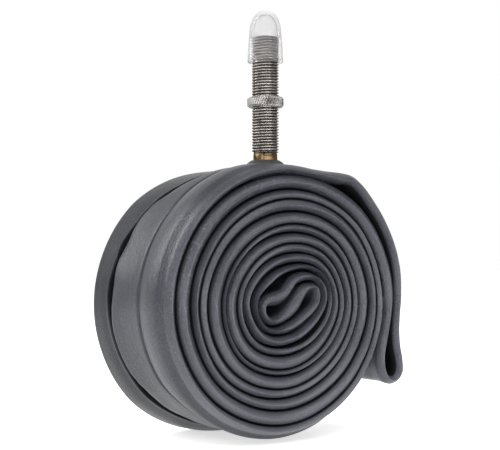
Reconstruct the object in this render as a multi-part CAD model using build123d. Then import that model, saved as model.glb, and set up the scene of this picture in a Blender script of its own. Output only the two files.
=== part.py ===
from build123d import *
import math
import os

# Bicycle inner tube, emptied, pressed flat, folded in two and rolled up around its fold, with a
# fully threaded car-type valve. Millimetres.
# The origin is on the valve's axis where the stem leaves its rubber foot, so it is also the plane
# that a wheel rim sits on. +Z runs up the valve. The roll's axis lies along Y.

# ---- the flattened tube and its roll ----
FLAT_WIDTH = 41.0
ROLL_CENTRE = (-6.3, -41.6)
LAYER_GAP = 0.3
OPEN_HALF = 1.4          # half thickness of a layer where nothing lies against it
AIR_HALF = 0.22          # half thickness of the air space left inside the flattened tube
FOLD_WALL = 2.6          # rubber between the air space and the folded edge
CORE_TILT = 0.8          # how far the inner layers lean into a slanted oval
STATIONS_PER_QUARTER = 2
STATIONS_PER_SPAN = 4    # stations joined by one smooth curve

# Distance from the roll's centre to the middle of each layer, from the outermost layer inwards, in
# the four directions. The roll holds two arms of the tube, so the layers alternate between them.
RIGHT = [41.0, 37.4, 33.6, 31.0, 27.7, 24.4, 21.8, 19.4, 17.1, 15.2, 13.2]
TOP = [37.8, 34.5, 31.0, 27.5, 24.1, 21.0, 18.1, 15.2, 12.3, 9.4]
LEFT = [38.0, 34.0, 30.3, 27.1, 24.0, 21.1, 18.6, 16.0, 13.3, 10.8]
BOTTOM = [36.0, 32.7, 29.1, 25.8, 22.6, 19.7, 16.8, 13.8, 10.8, 7.5]
DIRECTIONS = [RIGHT, TOP, LEFT, BOTTOM]
OUTER_ARM, INNER_ARM = 0, 1
LAST_STATION = {OUTER_ARM: 20, INNER_ARM: 19}
OUTER_ARM_QUARTERS = (1, 18)   # the stretch of each arm that the four lists describe
INNER_ARM_QUARTERS = (16, 0)

# The folded middle of the roll, from the outer arm round the S to the inner arm. Each entry is
# x, z, half thickness on the ring's inside, half thickness on the ring's outside.
CORE = [
    (-12.3, -4.8, 1.3, 1.1), (-9.1, -9.1, 1.6, 1.2), (-4.4, -11.1, 1.6, 1.1), (0.0, -10.95, 1.6, 1.2),
    (4.1, -9.8, 1.5, 1.2), (7.7, -7.6, 1.6, 1.3), (10.9, -4.4, 1.4, 1.1), (12.9, -0.9, 1.0, 0.9),
    (13.4, 2.2, 1.0, 0.7), (12.5, 4.8, 1.0, 0.7), (10.5, 6.7, 1.0, 0.8), (7.8, 7.5, 1.3, 1.0),
    (5.2, 7.3, 1.5, 1.4), (2.7, 6.1, 1.5, 1.6), (0.8, 4.0, 1.6, 1.7), (-1.0, 2.2, 1.8, 1.8),
    (-3.4, 1.2, 2.0, 2.0), (-5.9, 0.7, 1.7, 1.8), (-7.8, -0.4, 1.4, 1.5), (-8.3, -2.3, 1.4, 1.1),
    (-7.4, -4.2, 1.4, 0.9), (-5.3, -5.4, 1.5, 0.9), (-2.9, -5.2, 1.7, 1.0), (-0.6, -4.1, 1.9, 1.3),
    (1.3, -2.5, 1.9, 1.8), (3.1, -0.5, 1.9, 2.1), (4.8, 1.8, 1.8, 1.9), (6.4, 3.6, 1.6, 1.6),
    (8.2, 4.4, 1.1, 1.3), (10.1, 4.0, 1.1, 1.2), (10.8, 2.2, 1.1, 1.2), (10.4, -0.2, 1.2, 1.3),
    (8.7, -2.3, 1.3, 1.4), (6.0, -4.4, 1.4, 1.5), (3.1, -6.2, 1.4, 1.4), (0.0, -7.4, 1.4, 1.3),
    (-3.8, -7.95, 1.0, 0.9), (-7.0, -7.1, 0.9, 0.8), (-9.4, -4.5, 0.8, 0.6), (-10.6, -1.2, 0.8, 0.6),
    (-10.1, 1.7, 0.8, 0.7), (-8.3, 4.0, 1.0, 1.0), (-5.9, 6.1, 1.1, 1.2), (-3.2, 8.0, 1.1, 1.1),
    (0.1, 9.4, 1.0, 1.0), (3.9, 10.2, 0.8, 0.9), (8.1, 9.9, 0.7, 0.7), (11.7, 8.2, 0.6, 0.6),
    (14.2, 4.8, 0.5, 0.5),
]
# The outer end, where the inner arm turns back on itself in a free loop beside the roll.
HAIRPIN = [
    (37.1, -4.0, 1.6, 1.6), (36.2, -8.5, 1.7, 1.6), (35.2, -13.0, 1.7, 1.5), (34.6, -17.5, 1.5, 1.5),
    (35.2, -21.5, 1.4, 1.4), (37.1, -24.0, 1.3, 1.3), (39.6, -24.1, 1.3, 1.3), (41.4, -22.0, 1.4, 1.4),
    (41.4, -18.5, 1.4, 1.4), (40.6, -14.5, 1.6, 1.5), (40.2, -9.5, 1.6, 1.5), (40.5, -4.5, 1.5, 1.4),
]
# The flap that runs from the hairpin up and over a corner to the top of the roll.
FLAP = [
    (41.0, 0.5, 1.35, 1.4), (41.0, 5.5, 1.35, 1.4), (40.2, 11.3, 1.35, 1.4), (38.0, 17.5, 1.35, 1.4),
    (34.7, 23.5, 1.35, 1.4), (30.4, 29.1, 1.5, 1.5), (26.6, 33.0, 1.7, 1.6), (23.4, 35.1, 1.6, 1.6),
    (19.6, 35.7, 1.7, 1.7), (14.6, 36.2, 1.4, 1.5), (9.4, 36.8, 1.2, 1.4), (4.6, 37.5, 1.25, 1.4),
]

# ---- the valve ----
STEM_TOP = 37.0
THREAD_CREST_R = 3.97
THREAD_ROOT_R = 3.45
THREAD_PITCH = 25.4 / 30
CREST_FLAT = THREAD_PITCH / 8
THREAD_START = 2.2
THREAD_RUNOUT = 0.6      # plain end above the last ridge
NECK_STEP = 0.2          # slope from the neck up to the thread's root
COLLAR_R = 3.6           # plain brass neck between the thread and the rubber
FOOT_R = 5.2             # flange buried in the rubber foot
FOOT_BOTTOM = -2.4
FOOT_TOP = -1.4
AIR_BORE_R = 1.6
TUBE_SURFACE_Z = -3.0    # outer face of the tube under the valve
PAD_R = 10.5             # thin rubber pad that spreads over the tube
PAD_THICKNESS = 0.9
# Rubber foot above the pad, as (radius, height) points up to the lip round the stem.
FLARE = [(7.2, TUBE_SURFACE_Z + PAD_THICKNESS), (6.0, -1.7), (4.65, -1.0), (4.05, -0.5), (4.05, 0.0)]
FLARE_ROOT_Z = -5.4      # below the tube's surface, where the foot is trimmed to it

# ---- the rim nut and the dust cap ----
NUT_BOTTOM, NUT_TOP = 15.9, 18.9
NUT_R = 5.5
NUT_BORE_R = THREAD_CREST_R + 0.08
NUT_CHAMFER = 0.45
KNURL_COUNT = 44
KNURL_DEPTH = 0.25
CAP_BOTTOM, CAP_TOP = 29.3, 44.9
CAP_MOUTH_R = 5.35       # slightly flared lower edge
CAP_LIP_HEIGHT = 1.6
CAP_SKIRT_R = 5.0
CAP_SHOULDER_R = 4.75
CAP_SHOULDER_Z = 38.2
CAP_EDGE = 0.3           # small bevel on the lip and under the room
CAP_DOME_SIDE_R = 3.5    # a point that the dome's curve passes through
CAP_DOME_SIDE_Z = 43.0
CAP_THREAD_R = THREAD_CREST_R + 0.08
CAP_THREAD_TOP = 37.3
CAP_ROOM_R = 3.75        # room above the stem, inside the dome
CAP_ROOM_SIDE_R = 2.9
CAP_ROOM_SIDE_Z = 41.7
CAP_ROOM_TOP = 43.7

# ---- the valve core, along the same axis ----
PLUG_BORE_R = 2.75       # the stem's inner thread, at its crests
PLUG_BORE_BOTTOM = 31.0
SEAT_TOP_R, SEAT_BOTTOM_R = 2.55, 2.2   # cone that the core's gasket seals on
SEAT_TOP, SEAT_BOTTOM = 30.8, 28.2
CHAMBER_R = 2.0
CHAMBER_TOP, CHAMBER_BOTTOM = 28.0, 18.0
AIR_BORE_TOP = 17.6
SWIVEL_BOTTOM, SWIVEL_TOP = 31.4, 35.6
SWIVEL_CREST_R, SWIVEL_ROOT_R = 2.62, 2.3
SWIVEL_PITCH = 25.4 / 36
SWIVEL_BORE_R = 0.95
SWIVEL_BRIDGE_WIDTH = 3.0     # across the two flats at the plug's head
SWIVEL_BRIDGE_HEIGHT = 1.4
BARREL_BOTTOM, BARREL_TOP = 24.5, 31.3
BARREL_HEAD_R = 2.2
BARREL_BODY_R = 1.75
BARREL_WAIST_R = 1.95
BARREL_BORE_R = 1.3
BARREL_FLOOR = 0.7
PIN_HOLE_R = 0.75
BARREL_SHOULDER = 28.4
GASKET_TOP, GASKET_BOTTOM = 30.2, 28.5
GASKET_CLEARANCE = 0.06
PIN_R = 0.5
PIN_HEAD_R = 0.8
PIN_TOP, PIN_BOTTOM = 36.6, 22.9
PIN_HEAD_HEIGHT = 0.7
PIN_HEAD_BEVEL = 0.15
PIN_COLLAR_R = 1.15
PIN_COLLAR_Z, PIN_COLLAR_HEIGHT = 30.1, 0.5
SPRING_R = 0.92
SPRING_WIRE_R = 0.12
SPRING_TURNS = 9
SPRING_SEAT_GAP = 0.02
CUP_TOP, CUP_BOTTOM = 24.1, 22.9
CUP_R = 1.6
CUP_FLOOR = 0.5
CUP_GASKET_R = 1.4
CUP_GASKET_TOP = 24.44


def layer_station(arm, quarter):
    return DIRECTIONS[quarter % 4][arm + 2 * (quarter // 4)]


def layer_radius(arm, quarters):
    """Distance of an arm's middle from the roll's centre, `quarters` quarter turns in from the right."""
    last = LAST_STATION[arm]
    whole = min(int(quarters), last - 1)
    part = quarters - whole
    before, here, there, after = [
        layer_station(arm, min(max(station, 0), last)) for station in range(whole - 1, whole + 3)
    ]
    slope = (there - before) / 2
    bend = before - 2.5 * here + 2 * there - after / 2
    twist = (3 * (here - there) + after - before) / 2
    tilt = CORE_TILT * min(1, quarters / 6) * math.sin(math.pi * quarters)
    return here + part * (slope + part * (bend + part * twist)) + tilt


def half_thickness(arm, quarters):
    """Half thickness of a layer towards the ring's inside and outside: up to halfway to the next one."""
    middle = layer_radius(arm, quarters)
    partner = layer_radius(1 - arm, quarters)
    inside = abs(middle - partner) / 2 - LAYER_GAP / 2
    turn = 4 if arm == INNER_ARM else -4
    neighbour = quarters + turn
    if neighbour < 0 or neighbour > LAST_STATION[1 - arm]:
        return inside, OPEN_HALF
    outside = abs(middle - layer_radius(1 - arm, neighbour)) / 2 - LAYER_GAP / 2
    return inside, outside


def arm_stations(arm, quarters_range):
    first, last = quarters_range
    count = abs(last - first) * STATIONS_PER_QUARTER
    stations = []
    for step in range(count + 1):
        quarters = first + (last - first) * step / count
        radius = layer_radius(arm, quarters)
        angle = quarters * math.pi / 2
        halves = half_thickness(arm, quarters)
        stations.append((radius * math.cos(angle), radius * math.sin(angle), *halves))
    return stations


def ring_stations():
    """The whole folded ring, once round: outer arm, S-shaped core, inner arm, hairpin and flap."""
    outer_arm = arm_stations(OUTER_ARM, OUTER_ARM_QUARTERS)
    inner_arm = arm_stations(INNER_ARM, INNER_ARM_QUARTERS)
    return outer_arm + CORE + inner_arm + HAIRPIN + FLAP


def ring_edge(stations, offsets, y):
    """Closed curve beside the ring's middle line, each point moved to the left by its own offset."""
    count = len(stations)
    points = []
    for index, (x, z, _, _) in enumerate(stations):
        x_before, z_before = stations[index - 1][:2]
        x_after, z_after = stations[(index + 1) % count][:2]
        run, rise = x_after - x_before, z_after - z_before
        across = offsets[index] / math.hypot(run, rise)
        points.append(Vector(x - rise * across + ROLL_CENTRE[0], y, z + run * across + ROLL_CENTRE[1]))
    tangents = []
    for index, point in enumerate(points):
        arriving = point - points[index - 1]
        leaving = points[(index + 1) % count] - point
        slope = arriving.normalized() * leaving.length + leaving.normalized() * arriving.length
        tangents.append(slope.normalized())
    spans = []
    for first in range(0, count, STATIONS_PER_SPAN):
        last = min(first + STATIONS_PER_SPAN, count)
        span = [points[index % count] for index in range(first, last + 1)]
        ends = (tangents[first], tangents[last % count])
        spans.append(Spline(*span, tangents=ends, tangent_scalars=(1, 1)))
    return Wire(spans)


def ring_band(stations, inside, outside, width):
    """Strip of the given width along Y, between two edges of the ring."""
    front = -width / 2
    inner_edge = ring_edge(stations, inside, front)
    outer_edge = ring_edge(stations, [-offset for offset in outside], front)
    return extrude(Face(outer_edge, [inner_edge]), amount=width, dir=(0, 1, 0))


def roll_envelope(stations):
    """Everything inside the roll's outer surface, with the hairpin's mouth and the loops filled in."""
    outer_edge = ring_edge(stations, [-station[3] for station in stations], -FLAT_WIDTH / 2)
    return extrude(Face(outer_edge), amount=FLAT_WIDTH, dir=(0, 1, 0))


def turned(profile):
    """Solid of revolution about the valve's axis from (radius, height) points."""
    outline = Polyline(*[(radius, 0, height) for radius, height in profile], close=True)
    return revolve(Face(Wire(outline)), Axis.Z)


def column(radius, low, high):
    return Pos(0, 0, (low + high) / 2) * Cylinder(radius, high - low)


def ring_thread(crest_r, root_r, pitch, crest_flat, low, high):
    """Outside of a thread as (radius, height) points: level ridges one pitch apart, from low to high."""
    count = int((high - low) / pitch)
    flank = (pitch - 2 * crest_flat) / 2
    points = [(root_r, low)]
    for ridge in range(count):
        start = low + ridge * pitch
        points.append((root_r, start + crest_flat))
        points.append((crest_r, start + crest_flat + flank))
        points.append((crest_r, start + 2 * crest_flat + flank))
        points.append((root_r, start + pitch))
    return points


def make_inner_tube(stations):
    """The rolled strip of rubber with the flattened air space inside it and the valve's air hole."""
    rubber = ring_band(stations, [s[2] for s in stations], [s[3] for s in stations], FLAT_WIDTH)
    air_half = [AIR_HALF] * len(stations)
    air = ring_band(stations, air_half, air_half, FLAT_WIDTH - 2 * FOLD_WALL)
    air_hole = column(AIR_BORE_R, TUBE_SURFACE_Z - OPEN_HALF, 0)
    return rubber - air - air_hole


def make_valve_stem():
    """Threaded brass stem: a flange held in the rubber, a plain neck, the thread, and the core's bore."""
    thread_top = STEM_TOP - THREAD_RUNOUT
    thread = ring_thread(
        THREAD_CREST_R, THREAD_ROOT_R, THREAD_PITCH, CREST_FLAT, THREAD_START, thread_top
    )
    outside = [
        (FOOT_R, FOOT_BOTTOM),
        (FOOT_R, FOOT_TOP),
        (COLLAR_R, FOOT_TOP),
        (COLLAR_R, THREAD_START - NECK_STEP),
        *thread,
        (THREAD_ROOT_R, STEM_TOP),
    ]
    inside = [
        (PLUG_BORE_R, STEM_TOP),
        (PLUG_BORE_R, PLUG_BORE_BOTTOM),
        (SEAT_TOP_R, SEAT_TOP),
        (SEAT_BOTTOM_R, SEAT_BOTTOM),
        (CHAMBER_R, CHAMBER_TOP),
        (CHAMBER_R, CHAMBER_BOTTOM),
        (AIR_BORE_R, AIR_BORE_TOP),
        (AIR_BORE_R, FOOT_BOTTOM),
    ]
    return turned(outside + inside)


def make_valve_base(envelope):
    """Moulded rubber foot: a lip round the stem that flares into a thin pad bonded to the tube."""
    flare = turned([(0, FLARE_ROOT_Z), (FLARE[0][0], FLARE_ROOT_Z), *FLARE, (0, FLARE[-1][1])])
    pad = column(PAD_R, FLARE_ROOT_Z, 0) & Pos(0, 0, PAD_THICKNESS) * envelope
    flange_room = column(FOOT_R, FOOT_BOTTOM, FOOT_TOP)
    neck_room = column(COLLAR_R, FOOT_BOTTOM, THREAD_START)
    air_hole = column(AIR_BORE_R, FLARE_ROOT_Z, 0)
    return flare + pad - envelope - flange_room - neck_room - air_hole


def make_rim_nut():
    """Round nut with bevelled edges and a knurled rim."""
    ring = turned([
        (NUT_BORE_R, NUT_BOTTOM),
        (NUT_R - NUT_CHAMFER, NUT_BOTTOM),
        (NUT_R, NUT_BOTTOM + NUT_CHAMFER),
        (NUT_R, NUT_TOP - NUT_CHAMFER),
        (NUT_R - NUT_CHAMFER, NUT_TOP),
        (NUT_BORE_R, NUT_TOP),
    ])
    groove_length = NUT_TOP - NUT_BOTTOM + 2 * NUT_CHAMFER
    groove = Box(KNURL_DEPTH, KNURL_DEPTH, groove_length, rotation=(0, 0, 45))
    groove = Pos(NUT_R, 0, (NUT_BOTTOM + NUT_TOP) / 2) * groove
    grooves = [Rot(0, 0, turn * 360 / KNURL_COUNT) * groove for turn in range(KNURL_COUNT)]
    return ring - grooves


def make_dust_cap():
    """Clear cap: a threaded skirt with a flared lip, under a bullet-shaped dome with a room inside."""
    mouth_inner = (CAP_THREAD_R, 0, CAP_BOTTOM)
    mouth_outer = (CAP_MOUTH_R - CAP_EDGE, 0, CAP_BOTTOM)
    lip_low = (CAP_MOUTH_R, 0, CAP_BOTTOM + CAP_EDGE)
    lip_top = (CAP_SKIRT_R, 0, CAP_BOTTOM + CAP_LIP_HEIGHT)
    shoulder = (CAP_SHOULDER_R, 0, CAP_SHOULDER_Z)
    dome_side = (CAP_DOME_SIDE_R, 0, CAP_DOME_SIDE_Z)
    crown = (0, 0, CAP_TOP)
    room_crown = (0, 0, CAP_ROOM_TOP)
    room_side = (CAP_ROOM_SIDE_R, 0, CAP_ROOM_SIDE_Z)
    room_foot = (CAP_ROOM_R, 0, CAP_THREAD_TOP + CAP_EDGE)
    thread_top = (CAP_THREAD_R, 0, CAP_THREAD_TOP)
    upwards, downwards, inwards, outwards = (0, 0, 1), (0, 0, -1), (-1, 0, 0), (1, 0, 0)
    outline = Wire([
        Line(mouth_inner, mouth_outer),
        Line(mouth_outer, lip_low),
        Line(lip_low, lip_top),
        Line(lip_top, shoulder),
        Spline(shoulder, dome_side, crown, tangents=(upwards, inwards), tangent_scalars=(1, 1)),
        Line(crown, room_crown),
        Spline(room_crown, room_side, room_foot, tangents=(outwards, downwards), tangent_scalars=(1, 1)),
        Line(room_foot, thread_top),
        Line(thread_top, mouth_inner),
    ])
    return revolve(Face(outline), Axis.Z)


def make_core_swivel():
    """Threaded plug that screws into the stem's mouth, with two flats at the top for a valve key."""
    thread_top = SWIVEL_TOP - SWIVEL_BRIDGE_HEIGHT
    thread = ring_thread(
        SWIVEL_CREST_R, SWIVEL_ROOT_R, SWIVEL_PITCH, SWIVEL_PITCH / 8, SWIVEL_BOTTOM, thread_top
    )
    plug = turned([
        (SWIVEL_BORE_R, SWIVEL_BOTTOM),
        *thread,
        (SWIVEL_ROOT_R, SWIVEL_TOP),
        (SWIVEL_BORE_R, SWIVEL_TOP),
    ])
    cut_away = Box(2 * SWIVEL_CREST_R, 2 * SWIVEL_CREST_R, SWIVEL_BRIDGE_HEIGHT)
    cut_x = SWIVEL_BRIDGE_WIDTH / 2 + SWIVEL_CREST_R
    cut_z = SWIVEL_TOP - SWIVEL_BRIDGE_HEIGHT / 2
    return plug - [Pos(side * cut_x, 0, cut_z) * cut_away for side in (-1, 1)]


def make_core_barrel():
    """Brass body of the core: a head, a waist for the gasket and a bored shank with a holed floor."""
    return turned([
        (BARREL_BORE_R, BARREL_TOP),
        (BARREL_HEAD_R, BARREL_TOP),
        (BARREL_HEAD_R, GASKET_TOP),
        (BARREL_WAIST_R, GASKET_TOP),
        (BARREL_WAIST_R, GASKET_BOTTOM),
        (BARREL_BODY_R, BARREL_SHOULDER),
        (BARREL_BODY_R, BARREL_BOTTOM),
        (PIN_HOLE_R, BARREL_BOTTOM),
        (PIN_HOLE_R, BARREL_BOTTOM + BARREL_FLOOR),
        (BARREL_BORE_R, BARREL_BOTTOM + BARREL_FLOOR),
    ])


def make_core_gasket():
    """Tapered sleeve on the barrel's waist that seals against the cone inside the stem."""
    seat_slope = (SEAT_TOP_R - SEAT_BOTTOM_R) / (SEAT_TOP - SEAT_BOTTOM)
    top_r = SEAT_BOTTOM_R + seat_slope * (GASKET_TOP - SEAT_BOTTOM) - GASKET_CLEARANCE
    bottom_r = SEAT_BOTTOM_R + seat_slope * (GASKET_BOTTOM - SEAT_BOTTOM) - GASKET_CLEARANCE
    return turned([
        (BARREL_WAIST_R, GASKET_BOTTOM),
        (bottom_r, GASKET_BOTTOM),
        (top_r, GASKET_TOP),
        (BARREL_WAIST_R, GASKET_TOP),
    ])


def make_core_spring():
    """Coil spring between the barrel's floor and the collar on the pin."""
    low = BARREL_BOTTOM + BARREL_FLOOR + SPRING_WIRE_R + SPRING_SEAT_GAP
    high = PIN_COLLAR_Z - SPRING_WIRE_R - SPRING_SEAT_GAP
    path = Helix(pitch=(high - low) / SPRING_TURNS, height=high - low, radius=SPRING_R)
    section = Plane(origin=path @ 0, z_dir=path % 0) * Circle(SPRING_WIRE_R)
    return Pos(0, 0, low) * sweep(section, path=path, is_frenet=True)


def make_core_pin():
    """Pin that a pump presses: a head at the top and a collar that the spring pushes up."""
    return turned([
        (0, PIN_BOTTOM),
        (PIN_R, PIN_BOTTOM),
        (PIN_R, PIN_COLLAR_Z),
        (PIN_COLLAR_R, PIN_COLLAR_Z),
        (PIN_COLLAR_R, PIN_COLLAR_Z + PIN_COLLAR_HEIGHT),
        (PIN_R, PIN_COLLAR_Z + PIN_COLLAR_HEIGHT),
        (PIN_R, PIN_TOP - PIN_HEAD_HEIGHT),
        (PIN_HEAD_R, PIN_TOP - PIN_HEAD_HEIGHT + PIN_HEAD_BEVEL),
        (PIN_HEAD_R, PIN_TOP - PIN_HEAD_BEVEL),
        (PIN_HEAD_R - PIN_HEAD_BEVEL, PIN_TOP),
        (0, PIN_TOP),
    ])


def make_core_cup():
    """Little brass dish at the pin's foot that holds the sealing disc."""
    return turned([
        (PIN_R, CUP_BOTTOM),
        (CUP_R, CUP_BOTTOM),
        (CUP_R, CUP_TOP),
        (CUP_GASKET_R, CUP_TOP),
        (CUP_GASKET_R, CUP_BOTTOM + CUP_FLOOR),
        (PIN_R, CUP_BOTTOM + CUP_FLOOR),
    ])


def make_core_cup_gasket():
    """Sealing disc in the cup, which closes the barrel's floor when the pin is up."""
    return turned([
        (PIN_R, CUP_BOTTOM + CUP_FLOOR),
        (CUP_GASKET_R, CUP_BOTTOM + CUP_FLOOR),
        (CUP_GASKET_R, CUP_GASKET_TOP),
        (PIN_R, CUP_GASKET_TOP),
    ])


def build_parts():
    stations = ring_stations()
    return {
        "inner_tube": make_inner_tube(stations),
        "valve_base": make_valve_base(roll_envelope(stations)),
        "valve_stem": make_valve_stem(),
        "rim_nut": make_rim_nut(),
        "dust_cap": make_dust_cap(),
        "core_swivel": make_core_swivel(),
        "core_barrel": make_core_barrel(),
        "core_gasket": make_core_gasket(),
        "core_spring": make_core_spring(),
        "core_pin": make_core_pin(),
        "core_cup": make_core_cup(),
        "core_cup_gasket": make_core_cup_gasket(),
    }


os.makedirs("parts", exist_ok=True)
for name, solid in build_parts().items():
    export_step(solid, f"parts/{name}.step")
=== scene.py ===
import math
from collections import namedtuple

import bmesh
import bpy
import numpy as np
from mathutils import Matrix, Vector, noise


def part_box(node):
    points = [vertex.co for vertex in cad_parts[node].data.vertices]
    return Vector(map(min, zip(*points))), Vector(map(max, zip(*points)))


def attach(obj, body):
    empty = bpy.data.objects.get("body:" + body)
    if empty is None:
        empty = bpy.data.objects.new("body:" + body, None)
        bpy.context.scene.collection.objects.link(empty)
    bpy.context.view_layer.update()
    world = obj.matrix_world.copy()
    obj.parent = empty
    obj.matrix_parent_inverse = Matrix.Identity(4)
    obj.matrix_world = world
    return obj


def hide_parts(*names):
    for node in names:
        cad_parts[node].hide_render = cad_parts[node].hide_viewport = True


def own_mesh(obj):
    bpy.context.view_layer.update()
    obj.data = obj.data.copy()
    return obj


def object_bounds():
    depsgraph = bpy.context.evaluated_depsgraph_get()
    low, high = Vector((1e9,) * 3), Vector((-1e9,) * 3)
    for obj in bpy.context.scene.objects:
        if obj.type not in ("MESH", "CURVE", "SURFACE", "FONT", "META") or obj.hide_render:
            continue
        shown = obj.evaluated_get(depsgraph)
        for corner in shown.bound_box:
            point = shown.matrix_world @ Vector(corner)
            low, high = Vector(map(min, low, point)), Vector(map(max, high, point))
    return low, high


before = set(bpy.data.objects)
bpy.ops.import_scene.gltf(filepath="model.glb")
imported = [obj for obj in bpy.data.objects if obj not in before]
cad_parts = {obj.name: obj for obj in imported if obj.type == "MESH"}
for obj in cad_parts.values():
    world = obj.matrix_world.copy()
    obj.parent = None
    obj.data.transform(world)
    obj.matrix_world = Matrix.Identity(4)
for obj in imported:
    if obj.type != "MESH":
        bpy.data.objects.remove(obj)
cad_box = [list(corner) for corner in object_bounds()]

# A rolled-up bicycle inner tube with a threaded valve. Lengths below are in millimetres unless a
# name says otherwise, and MM turns them into Blender's metres.
MM = 0.001
ROLL_CENTRE = (-6.3, -41.6)
HALF_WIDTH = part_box("inner_tube")[1].y / MM

# ---------------------------------------------------------------- the roll's stations
# The same stations as the CAD: distances of the layers' middles from the roll's centre.
RIGHT = [41.0, 37.4, 33.6, 31.0, 27.7, 24.4, 21.8, 19.4, 17.1, 15.2, 13.2]
TOP = [37.8, 34.5, 31.0, 27.5, 24.1, 21.0, 18.1, 15.2, 12.3, 9.4]
LEFT = [38.0, 34.0, 30.3, 27.1, 24.0, 21.1, 18.6, 16.0, 13.3, 10.8]
BOTTOM = [36.0, 32.7, 29.1, 25.8, 22.6, 19.7, 16.8, 13.8, 10.8, 7.5]
DIRECTIONS = [RIGHT, TOP, LEFT, BOTTOM]
OUTER_ARM, INNER_ARM = 0, 1
LAST_STATION = {OUTER_ARM: 20, INNER_ARM: 19}
LAYER_GAP = 0.3
OPEN_HALF = 1.4
CORE_TILT = 0.8
# Points of the folded middle, the hairpin and the flap: x, z, half thickness inside, outside.
CORE = [
    (-12.3, -4.8, 1.3, 1.1), (-9.1, -9.1, 1.6, 1.2), (-4.4, -11.1, 1.6, 1.1), (0.0, -10.95, 1.6, 1.2),
    (4.1, -9.8, 1.5, 1.2), (7.7, -7.6, 1.6, 1.3), (10.9, -4.4, 1.4, 1.1), (12.9, -0.9, 1.0, 0.9),
    (13.4, 2.2, 1.0, 0.7), (12.5, 4.8, 1.0, 0.7), (10.5, 6.7, 1.0, 0.8), (7.8, 7.5, 1.3, 1.0),
    (5.2, 7.3, 1.5, 1.4), (2.7, 6.1, 1.5, 1.6), (0.8, 4.0, 1.6, 1.7), (-1.0, 2.2, 1.8, 1.8),
    (-3.4, 1.2, 2.0, 2.0), (-5.9, 0.7, 1.7, 1.8), (-7.8, -0.4, 1.4, 1.5), (-8.3, -2.3, 1.4, 1.1),
    (-7.4, -4.2, 1.4, 0.9), (-5.3, -5.4, 1.5, 0.9), (-2.9, -5.2, 1.7, 1.0), (-0.6, -4.1, 1.9, 1.3),
    (1.3, -2.5, 1.9, 1.8), (3.1, -0.5, 1.9, 2.1), (4.8, 1.8, 1.8, 1.9), (6.4, 3.6, 1.6, 1.6),
    (8.2, 4.4, 1.1, 1.3), (10.1, 4.0, 1.1, 1.2), (10.8, 2.2, 1.1, 1.2), (10.4, -0.2, 1.2, 1.3),
    (8.7, -2.3, 1.3, 1.4), (6.0, -4.4, 1.4, 1.5), (3.1, -6.2, 1.4, 1.4), (0.0, -7.4, 1.4, 1.3),
    (-3.8, -7.95, 1.0, 0.9), (-7.0, -7.1, 0.9, 0.8), (-9.4, -4.5, 0.8, 0.6), (-10.6, -1.2, 0.8, 0.6),
    (-10.1, 1.7, 0.8, 0.7), (-8.3, 4.0, 1.0, 1.0), (-5.9, 6.1, 1.1, 1.2), (-3.2, 8.0, 1.1, 1.1),
    (0.1, 9.4, 1.0, 1.0), (3.9, 10.2, 0.8, 0.9), (8.1, 9.9, 0.7, 0.7), (11.7, 8.2, 0.6, 0.6),
    (14.2, 4.8, 0.5, 0.5),
]
HAIRPIN = [
    (37.1, -4.0, 1.6, 1.6), (36.2, -8.5, 1.7, 1.6), (35.2, -13.0, 1.7, 1.5), (34.6, -17.5, 1.5, 1.5),
    (35.2, -21.5, 1.4, 1.4), (37.1, -24.0, 1.3, 1.3), (39.6, -24.1, 1.3, 1.3), (41.4, -22.0, 1.4, 1.4),
    (41.4, -18.5, 1.4, 1.4), (40.6, -14.5, 1.6, 1.5), (40.2, -9.5, 1.6, 1.5), (40.5, -4.5, 1.5, 1.4),
]
FLAP = [
    (41.0, 0.5, 1.35, 1.4), (41.0, 5.5, 1.35, 1.4), (40.2, 11.3, 1.35, 1.4), (38.0, 17.5, 1.35, 1.4),
    (34.7, 23.5, 1.35, 1.4), (30.4, 29.1, 1.5, 1.5), (26.6, 33.0, 1.7, 1.6), (23.4, 35.1, 1.6, 1.6),
    (19.6, 35.7, 1.7, 1.7), (14.6, 36.2, 1.4, 1.5), (9.4, 36.8, 1.2, 1.4), (4.6, 37.5, 1.25, 1.4),
]
# How open the two gaps between neighbouring layers are, at each quarter turn from the right: the
# layers lie in loose pairs, and the pairing changes over twice a turn.
GAP_INSIDE = [1, 1, 1, 0.7, 0.25, 0.2, 0.2, 1, 1, 0.3, 0.3, 1, 1, 0.3, 0.3, 1, 1, 1, 1, 1, 1]
GAP_OUTSIDE = [1, 1, 1, 1, 1, 1, 1, 0.3, 0.25, 1, 1, 0.3, 0.3, 1, 1, 0.3, 0.3, 1, 1, 1, 1]

# How far each gap lies from the middle between its two layers at the front, outwards positive.
SHIFT_INSIDE = [
    0.3, 0.35, 0, 0.45, 0, 0.15, 0.3, -0.35, -0.65, -0.35, -0.75,
    -0.45, -0.3, 0, -0.4, -0.3, -0.35, 0, 0, 0, 0,
]
SHIFT_OUTSIDE = [
    -0.4, -0.55, -0.95, -0.4, 0.35, 0, 0.35, 0.2, 0, 0.25, 0.85,
    0.65, 0, 0.15, 0.35, 0.4, 0, 0, 0, 0, 0,
]

LONG_STEP, SHORT_STEP = 0.9, 0.35    # spacing of the mesh along the arms, and round tight folds
FRONT_REACH = 0.7                    # how far the front beads stand out of the CAD's flat face
FRONT_LEAN = 0.6                     # and how far they lean to the right
UNDER_FLAP = 1.3                     # how much fuller the layer under the flap is
UNDER_FLAP_AT, UNDER_FLAP_REACH = 0.33, 0.2    # in quarter turns
FLAP_SHIFT = 0.4


def smoothstep(low, high, value):
    t = np.clip((np.asarray(value, float) - low) / (high - low), 0, 1)
    return t * t * (3 - 2 * t)


def bump_at(value, place, width):
    return math.exp(-(((value - place) / width) ** 2))


def layer_station(arm, quarter):
    return DIRECTIONS[quarter % 4][arm + 2 * (quarter // 4)]


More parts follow.
